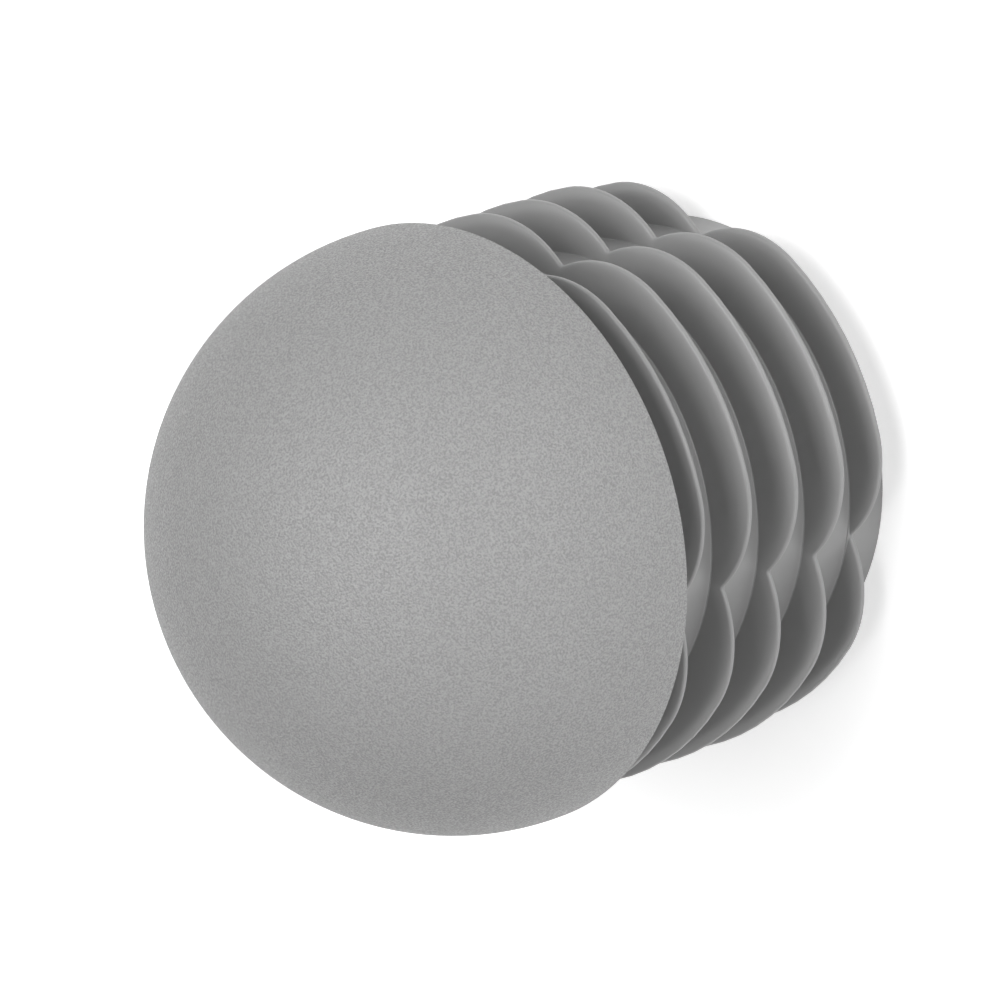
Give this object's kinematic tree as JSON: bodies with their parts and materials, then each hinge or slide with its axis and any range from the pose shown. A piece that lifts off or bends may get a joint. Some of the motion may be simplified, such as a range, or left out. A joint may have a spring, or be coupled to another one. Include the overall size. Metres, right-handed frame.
{
  "type": "tube end cap",
  "caption": "Domed plastic end cap for a round tube, with a hollow shank of thin notched fins that grip the bore.",
  "frame": {"origin": "centre of the seat under the head, where the cap lands on the tube's end, on the axis of the cap", "axes": "+Z along the axis, out of the tube towards the dome; +X and +Y through the middles of two of the four lobes"},
  "size_m": [0.05, 0.05, 0.0557],
  "materials": {
    "body": "grey moulded polyethylene, spark-eroded matt head and smooth satin shank"
  },
  "bodies": {
    "root": {"end_cap": "body"}
  },
  "joints": []
}
